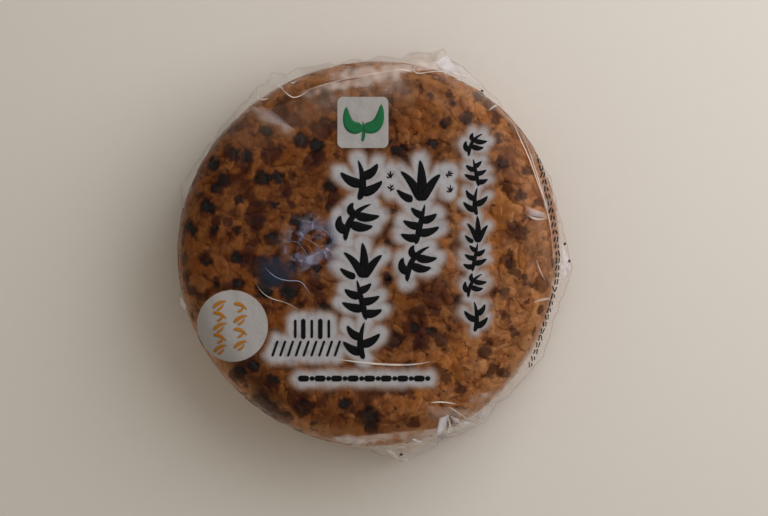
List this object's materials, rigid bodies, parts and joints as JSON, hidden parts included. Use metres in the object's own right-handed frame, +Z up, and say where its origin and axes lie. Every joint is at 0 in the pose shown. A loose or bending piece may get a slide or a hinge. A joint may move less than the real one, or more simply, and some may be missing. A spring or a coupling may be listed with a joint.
{
  "type": "wrapped rice ball",
  "caption": "Round grilled rice ball pressed into a thick disc, sealed in a tight clear film bag with a loose pleated rim.",
  "frame": {"origin": "the middle of the flat folds of film underneath, which the pack lies on", "axes": "+Z up through the disc; +Y towards the end of the pack that is at the top when its front is read; +X to the right"},
  "size_m": [0.0855, 0.0902, 0.0296],
  "materials": {
    "browned_rice": "moist soy-glazed rice, browned, with scorched spots",
    "clear_film": "clear thin wrapping film with fields of white, black and orange print"
  },
  "bodies": {
    "root": {"wrapped_rice_ball": "browned_rice"}
  },
  "joints": []
}
